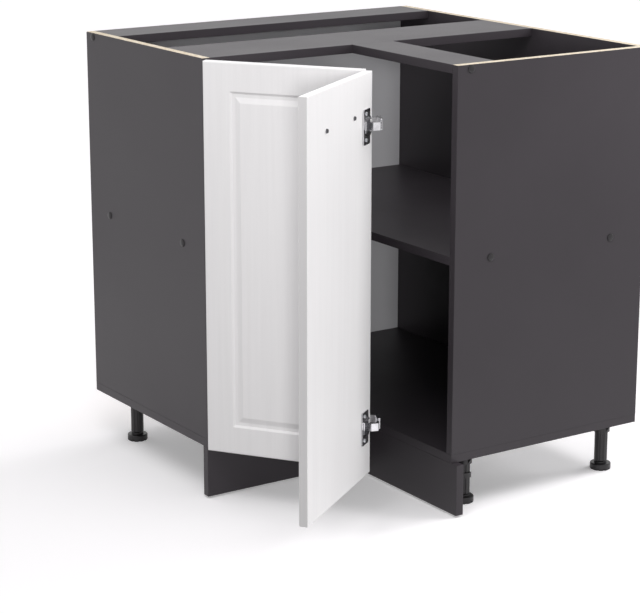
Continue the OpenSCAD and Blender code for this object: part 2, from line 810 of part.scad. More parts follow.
module at_swing_hinges() {
    for (z = hinge_heights) translate([board_t, notch + swing_arm_back, z]) rotate(-90) children();
}

module at_fold_arms() {
    for (z = hinge_heights) translate([leaf_w + corner_gap - fold_arm_back, door_t, z]) children();
}

module at_fold_line() {
    on_left_leaf() for (z = hinge_heights) translate([leaf_w + corner_gap, 0, z]) children();
}

module at_plate_screws() {
    for (side = [-1, 1]) translate([plate_screw_x, plate_t, side * plate_screw_spread / 2])
        rotate([-90, 0, 0]) children();
}

module plate_screw_holes() {
    at_plate_screws() screw_hole(plate_head_d, plate_head_h, plate_screw_d, plate_screw_in + plate_t);
}

module plate_screws() {
    at_plate_screws()
        screw(plate_head_d, plate_head_h, plate_screw_d, plate_screw_in + plate_t, plate_recess_d);
}

module mounting_plate() {
    wing_r = (plate_wing_h - plate_screw_spread) / 2;
    difference() {
        union() {
            translate([0, 0, -plate_w / 2]) cube([plate_l, plate_t, plate_w]);
            translate([plate_screw_x, plate_t, 0]) rotate([90, 0, 0]) linear_extrude(plate_t) {
                for (side = [-1, 1]) translate([0, side * plate_screw_spread / 2]) circle(wing_r);
                square([2 * wing_r, plate_screw_spread], center = true);
            }
        }
        plate_screw_holes();
    }
}

// The arm lies on the plate with its two adjusting screws, and its tongue reaches out to
// the pin on which the crank turns
module hinge_arm(pin, link_h) {
    difference() {
        union() {
            translate([0, plate_t, -arm_h / 2]) cube([arm_l, arm_t, arm_h]);
            bent_bar([[arm_l - arm_root, plate_t + arm_t / 2], pin], tongue_w, link_h);
            translate(pin) cylinder(d = eye_d, h = link_h, center = true);
            for (x = adjuster_x) translate([x, plate_t + arm_t - merge, 0])
                rotate([-90, 0, 0]) cylinder(d = adjuster_d, h = adjuster_h);
        }
        for (x = adjuster_x) translate([x, plate_t + arm_t + adjuster_h, 0])
            cube([adjuster_slot_l, adjuster_h, adjuster_slot_w], center = true);
        translate(pin) cylinder(d = pin_d + 2 * snug, h = link_h + 2 * cut, center = true);
    }
}

module swing_hinge_plates() color(nickel) in_corner() at_swing_hinges() mounting_plate();

module swing_plate_screws() color(zinc) in_corner() at_swing_hinges() plate_screws();

module swing_hinge_arms() color(nickel) in_corner() at_swing_hinges()
    hinge_arm(swing_pin_on_arm, swing_link_h);

module swing_hinge_cranks() color(nickel) in_corner() for (z = hinge_heights)
    translate([0, 0, z]) crank(swing_arm_pin, swing_crank_now, swing_link_h);

module swing_hinge_links() color(nickel) in_corner() for (z = hinge_heights)
    translate([0, 0, z]) swing_link();

module fold_hinge_plates() color(nickel) on_left_leaf() at_fold_arms() mounting_plate();

module fold_plate_screws() color(zinc) on_left_leaf() at_fold_arms() plate_screws();

module fold_hinge_arms() color(nickel) on_left_leaf() at_fold_arms()
    hinge_arm(fold_pin_on_arm, fold_link_h);

module fold_hinge_cranks() color(nickel) at_fold_line()
    crank(fold_arm_off, fold_arm_off + fold_pin_off, fold_link_h);

module fold_hinge_links() color(nickel) at_fold_line() fold_link();

bottom_panel();
left_side();
right_side();
back_board();
back_panel();
shelf();
back_rail();
middle_rail();
front_rail();
rail_dowels();
left_side_screws();
right_side_screws();
back_board_screws();
bottom_screws();
left_plinth();
right_plinth();
plinth_clips();
leg_sockets();
leg_tubes();
socket_screws();
foot_left_back();
foot_left_front();
foot_right_back();
foot_right_front();
foot_inner_corner();
foot_room_corner();
left_leaf();
right_leaf();
handle();
handle_screws();
swing_hinge_plates();
swing_hinge_arms();
swing_hinge_cranks();
swing_hinge_links();
swing_hinge_cups();
swing_plate_screws();
swing_cup_screws();
fold_hinge_plates();
fold_hinge_arms();
fold_hinge_cranks();
fold_hinge_links();
fold_hinge_cups();
fold_plate_screws();
fold_cup_screws();
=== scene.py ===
# %% [markdown]
# # A corner base cabinet with a folding door
# The construction comes packed, as named solids that already stand in their places. This
# lesson gives each of them its finish, eases the edges that catch the light, adds the nails
# of the thin back panel and the covers on the screw heads, and sets up a camera and soft
# studio light. All lengths are in metres. The room corner behind the cabinet is the origin,
# so the whole cabinet lies where x and y are negative, and z counts up from the floor.

# %% Load the construction
import json
import math

import bpy
from mathutils import Euler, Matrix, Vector

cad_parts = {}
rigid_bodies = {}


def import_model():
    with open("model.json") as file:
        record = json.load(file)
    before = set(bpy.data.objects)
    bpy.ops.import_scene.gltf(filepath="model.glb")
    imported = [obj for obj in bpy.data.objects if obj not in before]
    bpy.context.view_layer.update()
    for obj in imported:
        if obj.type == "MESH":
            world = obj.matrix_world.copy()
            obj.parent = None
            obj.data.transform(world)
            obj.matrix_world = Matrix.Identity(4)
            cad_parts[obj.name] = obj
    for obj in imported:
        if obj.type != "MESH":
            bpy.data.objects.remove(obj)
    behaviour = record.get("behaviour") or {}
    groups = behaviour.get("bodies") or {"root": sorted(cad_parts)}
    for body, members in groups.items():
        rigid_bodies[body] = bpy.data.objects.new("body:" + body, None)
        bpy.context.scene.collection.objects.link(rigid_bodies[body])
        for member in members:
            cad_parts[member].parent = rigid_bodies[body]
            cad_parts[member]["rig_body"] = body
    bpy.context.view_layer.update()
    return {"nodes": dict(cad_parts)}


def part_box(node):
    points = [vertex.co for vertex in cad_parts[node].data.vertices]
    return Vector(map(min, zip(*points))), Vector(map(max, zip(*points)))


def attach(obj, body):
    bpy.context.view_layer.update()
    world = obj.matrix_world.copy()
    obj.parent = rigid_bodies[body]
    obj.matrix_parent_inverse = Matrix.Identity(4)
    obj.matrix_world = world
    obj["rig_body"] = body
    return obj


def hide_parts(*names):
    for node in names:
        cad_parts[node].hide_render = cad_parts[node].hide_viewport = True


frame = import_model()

solids = frame["nodes"]

# %% [markdown]
# ## The camera
# The photograph was taken with a long lens from the front left, a little above the worktop.
# Yaw turns the camera about the vertical and pitch tilts it down. The focal length was
# measured in pixels of the image, so the image's width in pixels and the sensor's width in
# millimetres turn it into a lens. The lens has no shift, so other views can use the same
# camera.

# %% Place the camera
SENSOR_WIDTH = 36.0
IMAGE_WIDTH = 640
FOCAL_PIXELS = 2091.8
CAMERA_PLACE = (-2.6149, -3.6001, 1.3431)
CAMERA_YAW = math.radians(33.65)
CAMERA_PITCH = math.radians(14.917)
FARTHEST_SEEN = 200.0

bpy.ops.object.select_all(action="DESELECT")
bpy.ops.object.camera_add(
    location=CAMERA_PLACE,
    rotation=(math.pi / 2 - CAMERA_PITCH, 0.0, -CAMERA_YAW),
)
camera = bpy.context.object
camera.name = "photo_camera"
camera.data.sensor_width = SENSOR_WIDTH
camera.data.lens = FOCAL_PIXELS / IMAGE_WIDTH * SENSOR_WIDTH
camera.data.clip_end = FARTHEST_SEEN
bpy.context.scene.camera = camera
bpy.context.scene.view_settings.view_transform = "Standard"
print("lens", round(camera.data.lens, 1), "mm")

# %% [markdown]
# ## Helpers for materials
# Every finish below is a small tree of shader nodes, and a few helpers keep the cells short.
# They turn the 0 to 255 values of a screen colour into the linear values that Blender
# stores, add a node and fill in its inputs, and join two sockets. A Mix node has several
# sockets of the same name, so those are called by their place in the node.

# %% Colours, nodes and links
MIX_BY = 0
COLOUR_A, COLOUR_B, COLOUR_OUT = 6, 7, 2
NUMBER_A, NUMBER_B, NUMBER_OUT = 2, 3, 0
WHITE = (1.0, 1.0, 1.0, 1.0)


def paint(red, green, blue):
    """A screen colour, 0 to 255, as the linear colour with alpha that a socket takes."""
    def linear(value):
        share = value / 255.0
        return share / 12.92 if share <= 0.04045 else ((share + 0.055) / 1.055) ** 2.4
    return (linear(red), linear(green), linear(blue), 1.0)


def add_node(tree, kind, inputs=None, **settings):
    """A new node of that kind, with its settings and its unlinked input values."""
    node = tree.nodes.new(kind)
    for name, value in settings.items():
        setattr(node, name, value)
    for name, value in (inputs or {}).items():
        node.inputs[name].default_value = value
    return node


def join(tree, source, socket_out, target, socket_in):
    """A link from one node's output to another node's input, each by its name or place."""
    tree.links.new(source.outputs[socket_out], target.inputs[socket_in])


def new_finish(name, **principled):
    """A material with one Principled shader, whose plain values are set on its own sockets."""
    finish = bpy.data.materials.new(name)
    finish.use_nodes = True
    shader = finish.node_tree.nodes["Principled BSDF"]
    for socket, value in principled.items():
        shader.inputs[socket.replace("_", " ")].default_value = value
    return finish, finish.node_tree, shader


print("white on the screen is", paint(255, 255, 255)[:3])

# %% [markdown]
# Most finishes also share some steps: two colours blended by a mask, a roughness that
# follows a mask, a ramp of colours and a shallow relief. The last helper serves the floor
# and the sky.

# %% Steps that most finishes share
def blended(tree, mask, socket, low, high):
    """A colour that goes from low to high as the mask goes from 0 to 1."""
    colour = add_node(tree, "ShaderNodeMix", {COLOUR_A: low, COLOUR_B: high}, data_type="RGBA")
    join(tree, mask, socket, colour, MIX_BY)
    return colour


def ranged(tree, mask, socket, low, high):
    """A number that goes from low to high as the mask goes from 0 to 1."""
    number = add_node(tree, "ShaderNodeMapRange", {"To Min": low, "To Max": high})
    join(tree, mask, socket, number, "Value")
    return number


def dress(tree, shader, colour, colour_socket, gloss, gloss_socket):
    """Gives the shader its colour and its roughness."""
    join(tree, colour, colour_socket, shader, "Base Color")
    join(tree, gloss, gloss_socket, shader, "Roughness")


def add_ramp(tree, low, low_colour, high, high_colour):
    """A colour ramp with one colour up to low, another from high on, and a blend between."""
    ramp = add_node(tree, "ShaderNodeValToRGB")
    first, last = ramp.color_ramp.elements
    first.position, first.color = low, low_colour
    last.position, last.color = high, high_colour
    return ramp


def emboss(tree, shader, height, socket, strength, depth):
    """Gives the shader a relief. The strength goes from 0 to 1 and the depth is in metres."""
    relief = add_node(tree, "ShaderNodeBump", {"Strength": strength, "Distance": depth})
    join(tree, height, socket, relief, "Height")
    join(tree, relief, "Normal", shader, "Normal")


def shown_apart(tree, shown, lit, surface):
    """Joins shown to the surface for the camera and for rays that a mirror or glass sends
    on, and lit for the light that reaches other things."""
    path = add_node(tree, "ShaderNodeLightPath")
    seen = add_node(tree, "ShaderNodeMath", operation="ADD")
    seen_or_through = add_node(tree, "ShaderNodeMath", operation="ADD", use_clamp=True)
    either = add_node(tree, "ShaderNodeMixShader")
    join(tree, path, "Is Camera Ray", seen, 0)
    join(tree, path, "Is Glossy Ray", seen, 1)
    join(tree, seen, 0, seen_or_through, 0)
    join(tree, path, "Is Transmission Ray", seen_or_through, 1)
    join(tree, seen_or_through, 0, either, 0)
    join(tree, lit, 0, either, 1)
    join(tree, shown, 0, either, 2)
    join(tree, either, 0, surface, 0)


print("helpers ready")

# %% [markdown]
# ## The floor
# The cabinet stands on a plain white floor that fades into a white background, with a soft
# shadow under the carcass. A floor that is simply white would throw a lot of light back up
# under the cabinet, which the photograph doesn't show. So the camera, and anything that
# mirrors the floor, sees a white diffuse surface with a little glow, while the light that
# bounces on from it comes from a plain grey.

# %% Make the floor
FLOOR_SIZE = 120.0
FLOOR_SEEN = (0.90, 0.88, 0.90, 1.0)
FLOOR_GLOW = 0.25
FLOOR_BOUNCE = (0.15, 0.15, 0.15, 1.0)

bpy.ops.object.select_all(action="DESELECT")
bpy.ops.mesh.primitive_plane_add(size=FLOOR_SIZE, location=(0.0, 0.0, 0.0))
floor = bpy.context.object
floor.name = "floor"
floor_paint = bpy.data.materials.new("pale_floor")
floor_paint.use_nodes = True
tree = floor_paint.node_tree
tree.nodes.clear()
white = add_node(tree, "ShaderNodeBsdfDiffuse", {"Color": FLOOR_SEEN})
glow = add_node(tree, "ShaderNodeEmission", {"Color": WHITE, "Strength": FLOOR_GLOW})
grey = add_node(tree, "ShaderNodeBsdfDiffuse", {"Color": FLOOR_BOUNCE})
glowing = add_node(tree, "ShaderNodeAddShader")
surface = add_node(tree, "ShaderNodeOutputMaterial")
join(tree, white, 0, glowing, 0)
join(tree, glow, 0, glowing, 1)
shown_apart(tree, glowing, grey, surface)
floor.data.materials.append(floor_paint)
print("floor", floor.dimensions[:])

# %% [markdown]
# ## The light
# The photograph has soft studio light with no hard shadows. Suns light the floor evenly,
# which keeps the background plain: a low one from the camera's left reaches into the open
# cabinet, one from the right lights the right leaf, one stands overhead and a weak one comes
# from behind. Two small softboxes are near enough to fade over the object's own height. The
# left one lights the left leaf more at the top, and the right one the right side's far upper
# corner. No lamp shows in reflections, where it would glare on the rails in views from
# behind. The sky adds the rest from all sides. As with the floor, the sky is white for the
# camera and for reflections, and dimmer where it lights surfaces.

# %% Set up the lamps
def wide_sun(name, strength, turn, height, spread):
    """A sun that shines from that compass turn (0 is from the front, -y) and that height.
    Turn, height and the sun's spread are in degrees."""
    bpy.ops.object.light_add(type="SUN")
    lamp = bpy.context.object
    lamp.name = name
    lamp.data.energy = strength
    lamp.data.angle = math.radians(spread)
    lamp.rotation_euler = Euler((math.radians(90.0 - height), 0.0, math.radians(turn)), "XYZ")
    lamp.visible_glossy = False


def softbox(name, place, aimed_at, size, power):
    """A round softbox that shines from place towards aimed_at. The camera doesn't see it."""
    bpy.ops.object.light_add(type="AREA", location=place)
    lamp = bpy.context.object
    lamp.name = name
    lamp.data.shape = "DISK"
    lamp.data.size = size
    lamp.data.energy = power
    way = Vector(aimed_at) - lamp.location
    lamp.rotation_euler = way.to_track_quat("-Z", "Y").to_euler()
    lamp.visible_camera = False
    lamp.visible_glossy = False


wide_sun("front_light", strength=0.95, turn=-31.0, height=6.0, spread=8.0)
wide_sun("right_light", strength=3.0, turn=90.0, height=15.0, spread=40.0)
wide_sun("top_light", strength=0.9, turn=-20.0, height=78.0, spread=60.0)
wide_sun("rim_light", strength=0.6, turn=-150.0, height=10.0, spread=50.0)
softbox("left_softbox", place=(-1.5, -1.2, 1.7), aimed_at=(-0.7, -0.6, 0.7), size=0.8, power=8.6)
softbox("right_softbox", place=(0.45, -1.25, 1.15), aimed_at=(-0.05, -0.76, 0.7), size=0.5,
        power=6.2)

# %% Set up the sky
SKY_SEEN = 1.0
SKY_LIGHT = 0.27

sky = bpy.data.worlds.new("studio_sky")
bpy.context.scene.world = sky
sky.use_nodes = True
tree = sky.node_tree
tree.nodes.clear()
bright = add_node(tree, "ShaderNodeBackground", {"Color": WHITE, "Strength": SKY_SEEN})
soft = add_node(tree, "ShaderNodeBackground", {"Color": WHITE, "Strength": SKY_LIGHT})
surface = add_node(tree, "ShaderNodeOutputWorld")
shown_apart(tree, bright, soft, surface)
print("the sky has", len(tree.nodes), "nodes")

# %% [markdown]
# ## Patterns that several finishes share
# Three patterns come back in most finishes: a slow drift of colour and gloss over the
# surface, a grain too fine to be seen as relief, and in wood print or drawn metal, streaks
# along one direction. Each is a node group, built once and placed in every finish that
# needs it. They read Object coordinates, which are the cabinet's own metres, so a pattern
# runs on from board to board at its true size.

# %% Build the shared groups
def new_group(name, inputs, outputs):
    """An empty shader group with inputs {name: value} and outputs {name: kind}. An input is
    a number, or a vector where its value is None."""
    group = bpy.data.node_groups.new(name, "ShaderNodeTree")
    for label, value in inputs.items():
        kind = "NodeSocketVector" if value is None else "NodeSocketFloat"
        socket = group.interface.new_socket(name=label, in_out="INPUT", socket_type=kind)
        if value is not None:
            socket.default_value = value
    for label, kind in outputs.items():
        group.interface.new_socket(name=label, in_out="OUTPUT", socket_type=kind)
    return group, add_node(group, "NodeGroupInput"), add_node(group, "NodeGroupOutput")


# Slow drift: a soft noise, stretched to the full range from 0 to 1
drift, entry, leave = new_group("slow_drift", {"Scale": 4.0}, {"Amount": "NodeSocketFloat"})
place = add_node(drift, "ShaderNodeTexCoord")
noise = add_node(drift, "ShaderNodeTexNoise", {"Detail": 3.0, "Roughness": 0.55})
spread = add_node(drift, "ShaderNodeMapRange", {"From Min": 0.3, "From Max": 0.7})
join(drift, place, "Object", noise, "Vector")
join(drift, entry, "Scale", noise, "Scale")
join(drift, noise, "Fac", spread, "Value")
join(drift, spread, "Result", leave, "Amount")

# Fine grain: the pressed texture of melamine and moulded plastic
grain, entry, leave = new_group("fine_grain", {"Scale": 900.0}, {"Height": "NodeSocketFloat"})
place = add_node(grain, "ShaderNodeTexCoord")
noise = add_node(grain, "ShaderNodeTexNoise", {"Detail": 2.0, "Roughness": 0.6})
join(grain, place, "Object", noise, "Vector")
join(grain, entry, "Scale", noise, "Scale")
join(grain, noise, "Fac", leave, "Height")

# Streaks: noise that is fine across one direction and long along another
streaks, entry, leave = new_group(
    "streaks", {"Vector": None, "Scale": 1.0}, {"Lines": "NodeSocketFloat"})
noise = add_node(streaks, "ShaderNodeTexNoise", {"Detail": 5.0, "Roughness": 0.6})
spread = add_node(streaks, "ShaderNodeMapRange", {"From Min": 0.32, "From Max": 0.68})
join(streaks, entry, "Vector", noise, "Vector")
join(streaks, entry, "Scale", noise, "Scale")
join(streaks, noise, "Fac", spread, "Value")
join(streaks, spread, "Result", leave, "Lines")
print("groups:", [g.name for g in bpy.data.node_groups])

# %% [markdown]
# ## Anthracite boards
# The carcass is chipboard coated with anthracite melamine. Its face is almost even in
# colour, with a satin gloss and a pressed grain of well under a millimetre. The upper edges
# of the standing panels and the rear edge of the bottom are left raw, because the worktop
# and the wall hide them. The photograph shows the panels' cream lines of chips. A mask made
# from the surface's direction and place picks out just those edges.

# %% A group for raw chipboard
CHIPS_PER_METRE = (260.0, 260.0, 700.0)
DUST_PER_METRE = 1400.0
DUST_SHARE = 0.25

chips, entry, leave = new_group(
    "raw_chipboard", {"Scale": 1.0}, {"Color": "NodeSocketColor", "Height": "NodeSocketFloat"})
place = add_node(chips, "ShaderNodeTexCoord")
flat = add_node(chips, "ShaderNodeMapping", {"Scale": CHIPS_PER_METRE})
cells = add_node(chips, "ShaderNodeTexVoronoi", feature="F1")
tone = add_ramp(chips, 0.0, paint(214, 196, 168), 1.0, paint(247, 238, 222))
dust = add_node(chips, "ShaderNodeTexNoise", {"Scale": DUST_PER_METRE, "Detail": 3.0})
darker = add_node(
    chips, "ShaderNodeMix", {MIX_BY: DUST_SHARE}, data_type="RGBA", blend_type="MULTIPLY")
join(chips, place, "Object", flat, "Vector")
join(chips, flat, "Vector", cells, "Vector")
join(chips, entry, "Scale", cells, "Scale")
join(chips, place, "Object", dust, "Vector")
join(chips, cells, "Color", tone, "Fac")
join(chips, tone, "Color", darker, COLOUR_A)
join(chips, dust, "Fac", darker, COLOUR_B)
join(chips, darker, COLOUR_OUT, leave, "Color")
join(chips, dust, "Fac", leave, "Height")
print("raw chipboard group has", len(chips.nodes), "nodes")

# %% The anthracite finishes
FACING = 0.9  # the least cosine between a face's normal and the way it has to look
RAW_DEPTH = 0.0005  # how far below the highest or rearmost edge a face still counts as raw
RAW_ROUGHNESS = 0.85


def anthracite_finish(name, raw_axis=None, raw_beyond=0.0):
    """Satin anthracite melamine. Faces that look along raw_axis and lie beyond that place
    are raw chipboard instead."""
    finish, tree, shader = new_finish(name, Specular_IOR_Level=0.35)
    slow = add_node(tree, "ShaderNodeGroup", {"Scale": 5.0}, node_tree=drift)
    fine = add_node(tree, "ShaderNodeGroup", {"Scale": 1100.0}, node_tree=grain)
    colour = blended(tree, slow, "Amount", paint(54, 50, 54), paint(58, 54, 58))
    gloss = ranged(tree, slow, "Amount", 0.40, 0.46)
    if raw_axis is None:
        dress(tree, shader, colour, COLOUR_OUT, gloss, "Result")
        emboss(tree, shader, fine, "Height", strength=0.25, depth=0.0002)
        return finish
    raw = add_node(tree, "ShaderNodeGroup", node_tree=chips)
    face = add_node(tree, "ShaderNodeNewGeometry")
    place = add_node(tree, "ShaderNodeTexCoord")
    way = add_node(tree, "ShaderNodeSeparateXYZ")
    where = add_node(tree, "ShaderNodeSeparateXYZ")
    looks = add_node(tree, "ShaderNodeMath", {1: FACING}, operation="GREATER_THAN")
    beyond = add_node(tree, "ShaderNodeMath", {1: raw_beyond}, operation="GREATER_THAN")
    both = add_node(tree, "ShaderNodeMath", operation="MULTIPLY")
    mixed = add_node(tree, "ShaderNodeMix", data_type="RGBA")
    dull = add_node(tree, "ShaderNodeMix", {NUMBER_B: RAW_ROUGHNESS}, data_type="FLOAT")
    rough = add_node(tree, "ShaderNodeMix", data_type="FLOAT")
    join(tree, face, "Normal", way, 0)
    join(tree, place, "Object", where, 0)
    join(tree, way, raw_axis, looks, 0)
    join(tree, where, raw_axis, beyond, 0)
    join(tree, looks, 0, both, 0)
    join(tree, beyond, 0, both, 1)
    for mix in [mixed, dull, rough]:
        join(tree, both, 0, mix, MIX_BY)
    join(tree, colour, COLOUR_OUT, mixed, COLOUR_A)
    join(tree, raw, "Color", mixed, COLOUR_B)
    join(tree, gloss, "Result", dull, NUMBER_A)
    join(tree, fine, "Height", rough, NUMBER_A)
    join(tree, raw, "Height", rough, NUMBER_B)
    dress(tree, shader, mixed, COLOUR_OUT, dull, NUMBER_OUT)
    emboss(tree, shader, rough, NUMBER_OUT, strength=0.25, depth=0.0002)
    return finish


panels_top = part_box("left_side")[1].z
bottom_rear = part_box("bottom_panel")[1].x
coated_board = anthracite_finish("coated_board")
standing_panel = anthracite_finish("standing_panel", "Z", panels_top - RAW_DEPTH)
bottom_board = anthracite_finish("bottom_board", "X", bottom_rear - RAW_DEPTH)
print("panels end at z =", round(panels_top, 3))

# %% [markdown]
# ## White fronts
# The leaves are pressed board under white foil, printed and embossed with a faint upright
# wood grain that shows only as slight streaks in the gloss and colour. The streaks are long
# along z and fine across it, so one mapping serves both leaves whatever way they face. On the
# right leaf, faces that look the way the left leaf's front does are painted greyer; at rest
# that is its narrow end beside the fold. A mask from the direction of the face finds them.

# %% The foil finish
STREAKS_PER_METRE = (110.0, 110.0, 3.0)
DOOR_OPEN = math.radians(55.0)  # at rest, from the closed door
LEFT_FRONT = (-math.sin(DOOR_OPEN), -math.cos(DOOR_OPEN), 0.0)


def foil_finish(name, grey_by_facing):
    """White foil with an upright grain. With the flag set, faces that look the way the left
    leaf's front does at rest are painted greyer, whichever faces of the leaf those are."""
    finish, tree, shader = new_finish(name)
    place = add_node(tree, "ShaderNodeTexCoord")
    upright = add_node(tree, "ShaderNodeMapping", {"Scale": STREAKS_PER_METRE})
    lines = add_node(tree, "ShaderNodeGroup", node_tree=streaks)
    slow = add_node(tree, "ShaderNodeGroup", {"Scale": 3.0}, node_tree=drift)
    join(tree, place, "Object", upright, "Vector")
    join(tree, upright, "Vector", lines, "Vector")
    colour = blended(tree, lines, "Lines", paint(239, 237, 238), paint(243, 241, 242))
    gloss = ranged(tree, slow, "Amount", 0.34, 0.46)
    if grey_by_facing:
        # The grey is painted by the direction a face looks in the world; at rest it falls on the
        # right leaf's narrow end.
        face = add_node(tree, "ShaderNodeNewGeometry")
        along = add_node(tree, "ShaderNodeVectorMath", {1: LEFT_FRONT}, operation="DOT_PRODUCT")
        on_end = add_node(tree, "ShaderNodeMath", {1: FACING}, operation="GREATER_THAN")
        greyed = add_node(
            tree, "ShaderNodeMix", {COLOUR_B: paint(216, 214, 215)}, data_type="RGBA")
        join(tree, face, "Normal", along, 0)
        join(tree, along, "Value", on_end, 0)
        join(tree, on_end, 0, greyed, MIX_BY)
        join(tree, colour, COLOUR_OUT, greyed, COLOUR_A)
        colour = greyed
    dress(tree, shader, colour, COLOUR_OUT, gloss, "Result")
    emboss(tree, shader, lines, "Lines", strength=0.08, depth=0.0003)
    return finish


white_foil = foil_finish("white_foil", grey_by_facing=False)
white_foil_right = foil_finish("white_foil_right", grey_by_facing=True)
print("the left leaf is open by", round(math.degrees(DOOR_OPEN)), "degrees")

# %% [markdown]
# ## The thin back panel
# It is 3 mm hardboard, lacquered light grey on the side that shows inside the cabinet and
# bare brown fibre on the side towards the wall. The direction of the face decides which.

# %% The hardboard finish
REARWARD = 0.5  # a face looks to the wall when its normal's y is greater than this
FIBRES_PER_METRE = 420.0

thin_board, tree, shader = new_finish("lacquered_hardboard")
face = add_node(tree, "ShaderNodeNewGeometry")
way = add_node(tree, "ShaderNodeSeparateXYZ")
rear = add_node(tree, "ShaderNodeMath", {1: REARWARD}, operation="GREATER_THAN")
place = add_node(tree, "ShaderNodeTexCoord")
fibre = add_node(
    tree, "ShaderNodeTexNoise", {"Scale": FIBRES_PER_METRE, "Detail": 6.0, "Roughness": 0.7})
brown = add_ramp(tree, 0.3, paint(112, 82, 55), 0.7, paint(158, 122, 86))
slow = add_node(tree, "ShaderNodeGroup", node_tree=drift)
lacquer = blended(tree, slow, "Amount", paint(190, 189, 192), paint(196, 195, 198))
colour = add_node(tree, "ShaderNodeMix", data_type="RGBA")
gloss = add_node(tree, "ShaderNodeMix", {NUMBER_A: 0.5, NUMBER_B: 0.85}, data_type="FLOAT")
join(tree, face, "Normal", way, 0)
join(tree, way, "Y", rear, 0)
join(tree, place, "Object", fibre, "Vector")
join(tree, fibre, "Fac", brown, "Fac")
join(tree, rear, 0, colour, MIX_BY)
join(tree, rear, 0, gloss, MIX_BY)
join(tree, lacquer, COLOUR_OUT, colour, COLOUR_A)
join(tree, brown, "Color", colour, COLOUR_B)
dress(tree, shader, colour, COLOUR_OUT, gloss, NUMBER_OUT)
emboss(tree, shader, fibre, "Fac", strength=0.2, depth=0.0003)
print("hardboard finish has", len(tree.nodes), "nodes")

# %% [markdown]
# ## Plastic, plated steel and beech
# Sockets, tubes, feet, clips and the covers on the screws are moulded black plastic with a
# fine matt grain. Hinges are nickel-plated steel, and their screws and the nails duller
# zinc. The long screws of the carcass and the handle's screws are burnished dark. The
# handle is brushed steel, whose streaks run along its grip. The dowels are ribbed beech and
# hardly ever seen.

# %% Black plastic
black_plastic, tree, shader = new_finish("black_plastic")
slow = add_node(tree, "ShaderNodeGroup", {"Scale": 40.0}, node_tree=drift)
fine = add_node(tree, "ShaderNodeGroup", {"Scale": 1800.0}, node_tree=grain)
colour = blended(tree, slow, "Amount", paint(22, 20, 22), paint(28, 26, 28))
gloss = ranged(tree, slow, "Amount", 0.30, 0.42)
dress(tree, shader, colour, COLOUR_OUT, gloss, "Result")
emboss(tree, shader, fine, "Height", strength=0.25, depth=0.0002)
print("black plastic ready")

# %% Metals
def metal_finish(name, dark, light, gloss_from, gloss_to, streak_size, turn=0.0):
    """Metal whose gloss and tone vary in streaks. streak_size is their length along x, y and
    z, in metres, and the whole pattern is turned about z."""
    finish, tree, shader = new_finish(name, Metallic=1.0)
    place = add_node(tree, "ShaderNodeTexCoord")
    drawn = add_node(
        tree, "ShaderNodeMapping", {"Rotation": (0.0, 0.0, turn), "Scale": streak_size},
        vector_type="TEXTURE")
    lines = add_node(tree, "ShaderNodeGroup", node_tree=streaks)
    slow = add_node(tree, "ShaderNodeGroup", {"Scale": 60.0}, node_tree=drift)
    join(tree, place, "Object", drawn, "Vector")
    join(tree, drawn, "Vector", lines, "Vector")
    colour = blended(tree, slow, "Amount", dark, light)
    gloss = ranged(tree, lines, "Lines", gloss_from, gloss_to)
    dress(tree, shader, colour, COLOUR_OUT, gloss, "Result")
    emboss(tree, shader, lines, "Lines", strength=0.15, depth=0.0001)
    return finish


handle_low, handle_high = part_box("handle")
handle_run = handle_high - handle_low
nickel = metal_finish(
    "nickel_plate", paint(196, 196, 199), paint(222, 222, 224),
    gloss_from=0.16, gloss_to=0.28, streak_size=(0.017, 0.017, 0.002))
zinc = metal_finish(
    "zinc_plate", paint(170, 172, 176), paint(205, 206, 209),
    gloss_from=0.28, gloss_to=0.45, streak_size=(0.003, 0.003, 0.003))
burnished = metal_finish(
    "burnished_steel", paint(92, 92, 95), paint(118, 118, 121),
    gloss_from=0.30, gloss_to=0.42, streak_size=(0.004, 0.004, 0.004))
brushed = metal_finish(
    "brushed_steel", paint(178, 178, 181), paint(196, 196, 198),
    gloss_from=0.24, gloss_to=0.40, streak_size=(0.04, 0.0011, 0.0011),
    turn=math.atan2(handle_run.y, handle_run.x))
print("metals ready; the handle's grip spans", [round(c, 3) for c in handle_run])

# %% Beech
BEECH_LINES_PER_METRE = (900.0, 60.0, 900.0)

beech, tree, shader = new_finish("beech")
place = add_node(tree, "ShaderNodeTexCoord")
along = add_node(tree, "ShaderNodeMapping", {"Scale": BEECH_LINES_PER_METRE})
lines = add_node(tree, "ShaderNodeGroup", node_tree=streaks)
join(tree, place, "Object", along, "Vector")
join(tree, along, "Vector", lines, "Vector")
colour = blended(tree, lines, "Lines", paint(190, 150, 102), paint(222, 188, 142))
gloss = ranged(tree, lines, "Lines", 0.6, 0.75)
dress(tree, shader, colour, COLOUR_OUT, gloss, "Result")
print("beech ready")

# %% [markdown]
# ## Edges and round faces
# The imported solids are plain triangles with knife-sharp edges. Real edge bands, foil and
# stamped steel all have eased edges, and those catch thin lines of light. So each solid
# gets a stand-in: a copy whose corners are merged, whose flat faces are made whole again,
# and whose sharp edges get a small bevel. Round faces are then shaded smooth.

# %% A helper that makes a fine copy of a solid
FINISHES = {
    "anthracite_board": coated_board,
    "grey_back_panel": thin_board,
    "beech_dowel": beech,
    "zinc_steel": zinc,
    "burnished_steel": burnished,
    "black_plastic": black_plastic,
    "white_foil_front": white_foil,
    "brushed_steel": brushed,
    "nickel_steel": nickel,
}
MERGED_WITHIN = 0.00002
FLAT_WITHIN = math.radians(0.5)
BEVEL_SEGMENTS = 2
LARGE_FACES_LEAD = 100  # the weight that lets a large face stay flat up to its bevel


